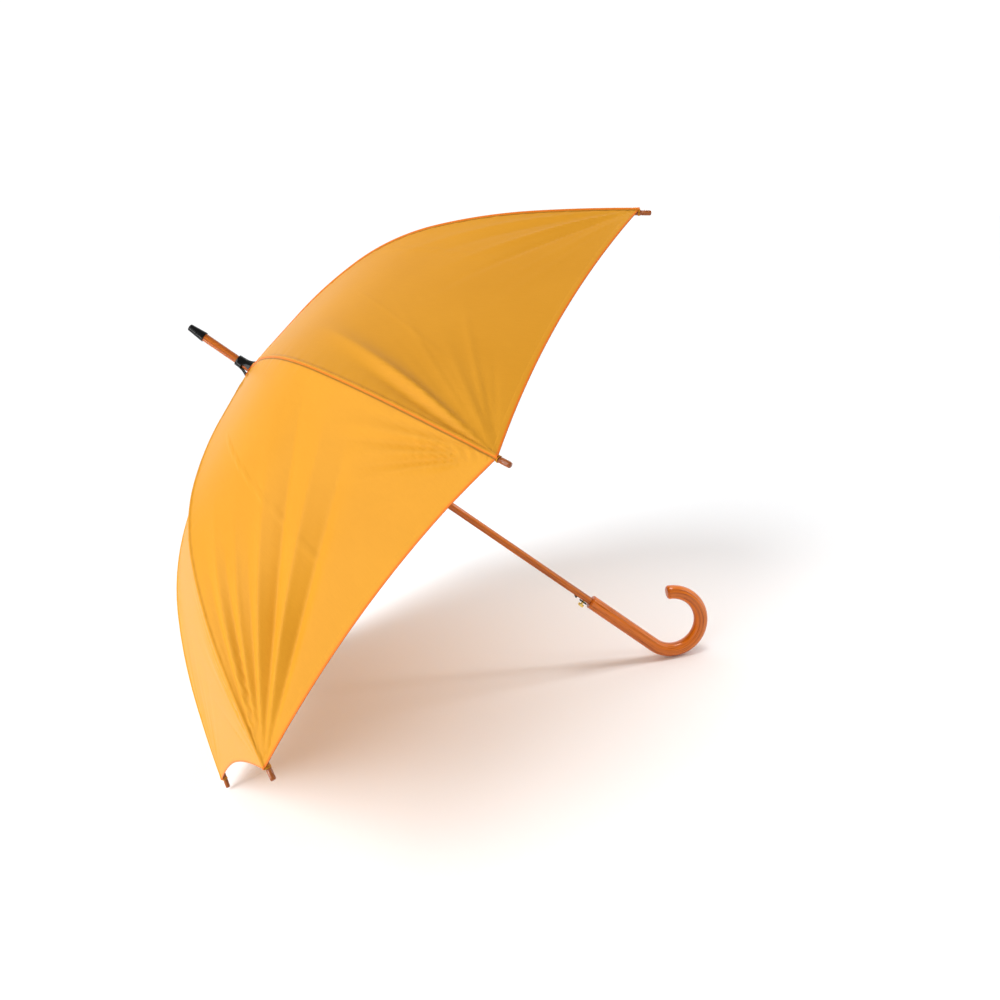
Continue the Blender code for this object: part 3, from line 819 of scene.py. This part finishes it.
def add_handle(look):
    """Grip and hook with a rounded end, a lip at the top and a bore for the shaft."""
    path = crook_path()
    radii = [HANDLE_RADIUS] * len(path)
    radii[0] = HANDLE_RADIUS - 0.9 * MM
    radii[1] = HANDLE_RADIUS + 0.1 * MM
    end = Vector((math.sin(CROOK_SWEEP), 0, -math.cos(CROOK_SWEEP)))
    last = path[-1]
    dome = 8
    for i in range(1, dome + 1):
        turn = math.pi / 2 * i / dome
        path.append(last + end * 4.2 * MM * math.sin(turn))
        radii.append(HANDLE_RADIUS * (1 - 0.42 * (1 - math.cos(turn))))
    grip = sweep(path, radii, 48)
    bore = lathe([(SHAFT_BORE, HANDLE_TOP + 2 * MM), (SHAFT_BORE, SHAFT_BOTTOM - MM)], 32)
    cut = turned(combined(grip, bore), Matrix.Rotation(CROOK_TURN, 4, "Z"))
    piece("crook_handle", cut, look, "shaft", ["handle"])


def add_ferrule(black, orange):
    """Cap and collar of black plastic, and the cloth washer under the collar."""
    cap = [(0.3 * MM, CAP_TOP), (3.9 * MM, CAP_TOP)]
    cap += [(4.4 * MM, CAP_TOP - 0.15 * MM), (4.9 * MM, CAP_TOP - 0.6 * MM), (5.1 * MM, CAP_TOP - 1.2 * MM)]
    cap += [(7.3 * MM, CAP_BOTTOM + 2.4 * MM), (7.4 * MM, CAP_BOTTOM + 2 * MM)]
    cap += [(7.4 * MM, CAP_BOTTOM + 0.3 * MM), (7.1 * MM, CAP_BOTTOM)]
    cap += [(SHAFT_BORE, CAP_BOTTOM), (SHAFT_BORE, SHAFT_TOP + 0.35 * MM)]
    cap += [(0.3 * MM, SHAFT_TOP + 0.35 * MM)]
    piece("ferrule_cap_shell", lathe(cap, 48, hollow=True), black, "shaft", ["ferrule_cap"])

    foot = 0.85 * MM
    outer = [(8.0 * MM, COLLAR_TOP), (8.25 * MM, COLLAR_TOP - 0.3 * MM)]
    outer += [(8.35 * MM, COLLAR_TOP - 5 * MM), (8.9 * MM, COLLAR_TOP - 10 * MM)]
    outer += [(9.9 * MM, COLLAR_TOP - 14 * MM), (11.4 * MM, COLLAR_TOP - 17.5 * MM)]
    outer += [(12.8 * MM, COLLAR_TOP - 20 * MM), (14 * MM, foot)]
    inner = [(12.4 * MM, foot), (11.1 * MM, COLLAR_TOP - 20 * MM), (9.7 * MM, COLLAR_TOP - 17.5 * MM)]
    inner += [(8.2 * MM, COLLAR_TOP - 14 * MM), (SHAFT_BORE, COLLAR_TOP - 8 * MM), (SHAFT_BORE, COLLAR_TOP)]
    collar = lathe(outer + inner, 64, hollow=True)
    for i in range(3):
        turn = Matrix.Rotation(WINDOW_TURN + i * 2 * math.pi / 3, 4, "Z")
        window = box((12 * MM, 11.5 * MM, 17 * MM), (12.9 * MM, 0, 5.5 * MM), 3.6 * MM, 5)
        collar = combined(collar, turned(window, turn))
    made = piece("ferrule_collar_shell", collar, black, "shaft", ["ferrule_collar"])
    bevelled(made, 0.25 * MM)

    edge = 16 * MM
    lift = 0.4 * MM
    drop = (edge - SEAM_START) * (1 / math.tan(math.radians(SEAM_TANGENTS[0])))
    washer = [(SHAFT_BORE, lift), (SEAM_START, lift)]
    washer += [(edge - 0.4 * MM, lift - drop), (edge, lift + 0.4 * MM - drop)]
    washer += [(edge - 0.4 * MM, lift + 0.8 * MM - drop)]
    washer += [(SEAM_START, lift + 0.8 * MM), (SHAFT_BORE, lift + 0.8 * MM)]
    rosette = lathe(washer, 64, hollow=True)
    made = piece("rosette_cloth", rosette, orange, "shaft", ["rosette"])


def add_tips(wood, thread):
    """Turned wooden tips, and the stitches that tie each corner of the cover to its tip."""
    length = TIP_REACH + TIP_COVERED
    profile = [(1.65 * MM, 0), (2.5 * MM, 0), (2.85 * MM, 0.15 * MM), (3.0 * MM, 0.6 * MM)]
    profile += [(3.0 * MM, TIP_COVERED + 1.6 * MM), (2.8 * MM, TIP_COVERED + 2.0 * MM)]
    profile += [(2.8 * MM, TIP_COVERED + 2.6 * MM), (3.0 * MM, TIP_COVERED + 3.0 * MM)]
    profile += [(3.0 * MM, length - 1.9 * MM), (2.85 * MM, length - 1.1 * MM)]
    profile += [(2.5 * MM, length - 0.45 * MM), (1.9 * MM, length - 0.1 * MM), (0.2 * MM, length)]
    profile += [(0.2 * MM, 15 * MM), (1.65 * MM, 15 * MM)]
    for k in RIBS:
        tip = lathe(profile, 28, hollow=True)
        place = tip_place(k)
        piece(f"wooden_tip_{k}", turned(tip, place), wood, f"rib_{k}", [f"rib_tip_{k}"])
        bm = bmesh.new()
        for i in range(4):
            add_stitch(bm, i)
        piece(f"tip_stitches_{k}", turned(bm, place), thread, f"rib_{k}", ())


def add_stitch(bm, i):
    """One turn of thread round a tip; each of them slants another way."""
    sides = 24
    loop = []
    for j in range(sides):
        turn = 2 * math.pi * j / sides
        radius = 3.3 * MM + 0.7 * MM * max(0, math.cos(turn)) ** 2
        slant = 0.5 * MM * math.sin(turn + i)
        loop.append(Vector((radius * math.cos(turn), radius * math.sin(turn), slant)))
    foot = Vector((0, 0, TIP_COVERED - 1.5 * MM + i * 0.62 * MM))
    rows = []
    for j in range(sides):
        ahead = (loop[(j + 1) % sides] - loop[j - 1]).normalized()
        out = Vector((loop[j].x, loop[j].y, 0)).normalized()
        up = out.cross(ahead)
        row = []
        for m in range(6):
            turn = 2 * math.pi * m / 6
            offset = (out * math.cos(turn) + up * math.sin(turn)) * THREAD_RADIUS
            row.append(bm.verts.new(loop[j] + offset + foot))
        rows.append(row)
    for j in range(sides):
        for m in range(6):
            a, b = rows[j], rows[(j + 1) % sides]
            bm.faces.new((a[m], a[(m + 1) % 6], b[(m + 1) % 6], b[m]))


def tip_place(k):
    """Stands a body turned about Z on the end of rib k, with its open end at the rib's side."""
    angle = math.radians(SEAM_TANGENTS[-1])
    way = Vector((math.sin(angle), 0, -math.cos(angle)))
    inward = Vector((-math.cos(angle), 0, -math.sin(angle)))
    radius, height = COVER.radius[-1], COVER.height[-1]
    start = Vector((radius, 0, height)) + inward * RIB_DROP - way * TIP_COVERED
    turn = Matrix((-inward, way.cross(-inward), way)).transposed().to_4x4()
    return rib_plane(k) @ Matrix.Translation(start) @ turn


def add_button(gold, black, dark):
    """The gold button in its plate, and the catch above it."""
    place = Matrix.Translation((0, 0, BUTTON_Z)) @ Matrix.Rotation(BUTTON_TURN, 4, "Z")
    plate = box((2.1 * MM, 7 * MM, 13 * MM), (7.55 * MM, 0, 0), 0.5 * MM)
    hole = box((6 * MM, 3.8 * MM, 3.8 * MM), (7.55 * MM, 0, 0))
    plate = turned(combined(plate, hole), place)
    piece("button_plate", plate, black, "shaft", ["button_housing"])
    head = box((4.6 * MM, 7 * MM, 9 * MM), (13.6 * MM, 0, 0), 1.3 * MM, 4)
    stem = box((7.2 * MM, 3 * MM, 3 * MM), (8.4 * MM, 0, 0), 0.3 * MM, 2)
    head = turned(combined(head, stem, "UNION"), place)
    piece("gold_button", head, gold, "push_button", ["push_button"])
    bevelled(refined("runner_catch", dark), 0.15 * MM)


def add_frame(black_steel, bright, plastic):
    """Ribs, stretchers, clips and the pieces round the shaft, in their CAD shapes."""
    for k in RIBS:
        refined(f"rib_{k}", black_steel)
        refined(f"stretcher_{k}", black_steel)
        bevelled(refined(f"stretcher_clip_{k}", bright), 0.2 * MM)
    bevelled(refined("crown", plastic), 0.2 * MM)
    refined("crown_wire", bright)
    bevelled(refined("runner", plastic), 0.25 * MM)
    add_spring(bright)


def add_spring(look):
    """The opening coil, which stretches between the shaft and the runner."""
    turns, steps = 46, 16
    path = []
    for i in range(turns * steps + 1):
        share = i / (turns * steps)
        turn = 2 * math.pi * i / steps
        height = SPRING_TOP + (SPRING_BOTTOM - SPRING_TOP) * share
        path.append(Vector((SPRING_RADIUS * math.cos(turn), SPRING_RADIUS * math.sin(turn), height)))
    bm = bmesh.new()
    rings = []
    for i, point in enumerate(path):
        ahead = (path[min(i + 1, len(path) - 1)] - path[max(i - 1, 0)]).normalized()
        out = Vector((point.x, point.y, 0)).normalized()
        up = ahead.cross(out)
        ring = []
        for j in range(6):
            turn = 2 * math.pi * j / 6
            offset = (out * math.cos(turn) + up * math.sin(turn)) * SPRING_WIRE
            ring.append(bm.verts.new(point + offset))
        rings.append(ring)
    for low, high in zip(rings, rings[1:]):
        for j in range(6):
            bm.faces.new((low[j], low[(j + 1) % 6], high[(j + 1) % 6], high[j]))
    bm.faces.new(rings[0])
    bm.faces.new(list(reversed(rings[-1])))
    mesh = mesh_of(bm)
    mesh.transform(PLACE)
    mesh.shade_smooth()
    made = bpy.data.objects.new("opening_coil", mesh)
    bpy.context.scene.collection.objects.link(made)
    mesh.materials.append(look)
    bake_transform(made)
    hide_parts("opening_spring")


def add_studio():
    """Pale floor, a grey world with a bright backdrop on the far side, a broad key lamp and soft boxes."""
    bm = bmesh.new()
    bmesh.ops.create_grid(bm, x_segments=2, y_segments=2, size=30)
    floor = bpy.data.objects.new("floor", mesh_of(bm))
    bpy.context.scene.collection.objects.link(floor)
    made, _, shader = material("floor", (0.955, 0.97, 0.985), 0.9)
    shader.inputs["Specular IOR Level"].default_value = 0.0
    floor.data.materials.append(made)
    floor.location.z = -0.0005

    world = bpy.data.worlds.new("studio")
    world.use_nodes = True
    tree = world.node_tree
    background = tree.nodes["Background"]
    background.inputs["Color"].default_value = (1, 1, 1, 1)
    facing = node(tree, "ShaderNodeSeparateXYZ")
    tree.links.new(node(tree, "ShaderNodeTexCoord").outputs["Generated"], facing.inputs["Vector"])
    backdrop = node(tree, "ShaderNodeMapRange")
    backdrop.inputs["From Min"].default_value = BACKDROP_START
    backdrop.inputs["From Max"].default_value = BACKDROP_END
    backdrop.inputs["To Min"].default_value = SURROUND
    backdrop.inputs["To Max"].default_value = BACKDROP
    tree.links.new(facing.outputs["Y"], backdrop.inputs["Value"])
    tree.links.new(backdrop.outputs["Result"], background.inputs["Strength"])
    bpy.context.scene.world = world

    sun = bpy.data.lights.new("key", "SUN")
    sun.energy = KEY_POWER
    sun.angle = KEY_ANGLE
    put_lamp(sun, KEY_PLACE, (0, 0, 0))
    for values in STRIPS:
        strip(*values)


def put_lamp(data, place, target):
    """Hangs a lamp at place, turned to target, out of the camera's sight."""
    made = bpy.data.objects.new(data.name, data)
    bpy.context.scene.collection.objects.link(made)
    made.location = place
    made.rotation_mode = "QUATERNION"
    made.rotation_quaternion = (Vector(target) - Vector(place)).to_track_quat("-Z", "Y")
    made.visible_camera = False


def strip(name, place, target, width, length, power):
    """A narrow soft box, which draws the bright lines along the wood and the plastic."""
    data = bpy.data.lights.new(name, "AREA")
    data.shape = "RECTANGLE"
    data.size = width
    data.size_y = length
    data.energy = power
    put_lamp(data, place, target)


make_camera()
FABRIC_LOOK = fabric_material()
HANDLE_LOOK = wood_material("handle_wood", (0.72, 0.18, 0.010), (0.46, 0.10, 0.005), (0.42, 0.30, 0.22), 0.5)
SHAFT_LOOK = wood_material("shaft_wood", (0.60, 0.16, 0.010), (0.36, 0.08, 0.005), (0.5, 0.4, 0.3), 0.5)
TIP_LOOK = wood_material("tip_wood", (0.34, 0.09, 0.014), (0.20, 0.045, 0.008), (0.5, 0.4, 0.35), 0.4)
ROSETTE_LOOK = worn_material("bound_edge_cloth", (0.80, 0.14, 0.006), 0.6, 0.0, 200, gloss=0.1)
BLACK_LOOK = worn_material("black_plastic", (0.003, 0.003, 0.0033), 0.16, 0.0, 60, 0.05, gloss=0.25)
STEEL_LOOK = worn_material("black_enamel", (0.01, 0.01, 0.011), 0.34, 0.0, 90, gloss=0.3)
BRIGHT_LOOK = worn_material("plated_steel", (0.62, 0.62, 0.64), 0.28, 1.0, 120)
GOLD_LOOK = worn_material("gold_plate", (0.83, 0.58, 0.16), 0.2, 1.0, 150, 0.06)

COVER = add_cover(FABRIC_LOOK)
add_shaft(SHAFT_LOOK)
add_handle(HANDLE_LOOK)
add_ferrule(BLACK_LOOK, ROSETTE_LOOK)
add_tips(TIP_LOOK, FABRIC_LOOK)
add_button(GOLD_LOOK, BLACK_LOOK, STEEL_LOOK)
add_frame(STEEL_LOOK, BRIGHT_LOOK, BLACK_LOOK)
add_studio()
bpy.context.scene.view_settings.view_transform = "Standard"
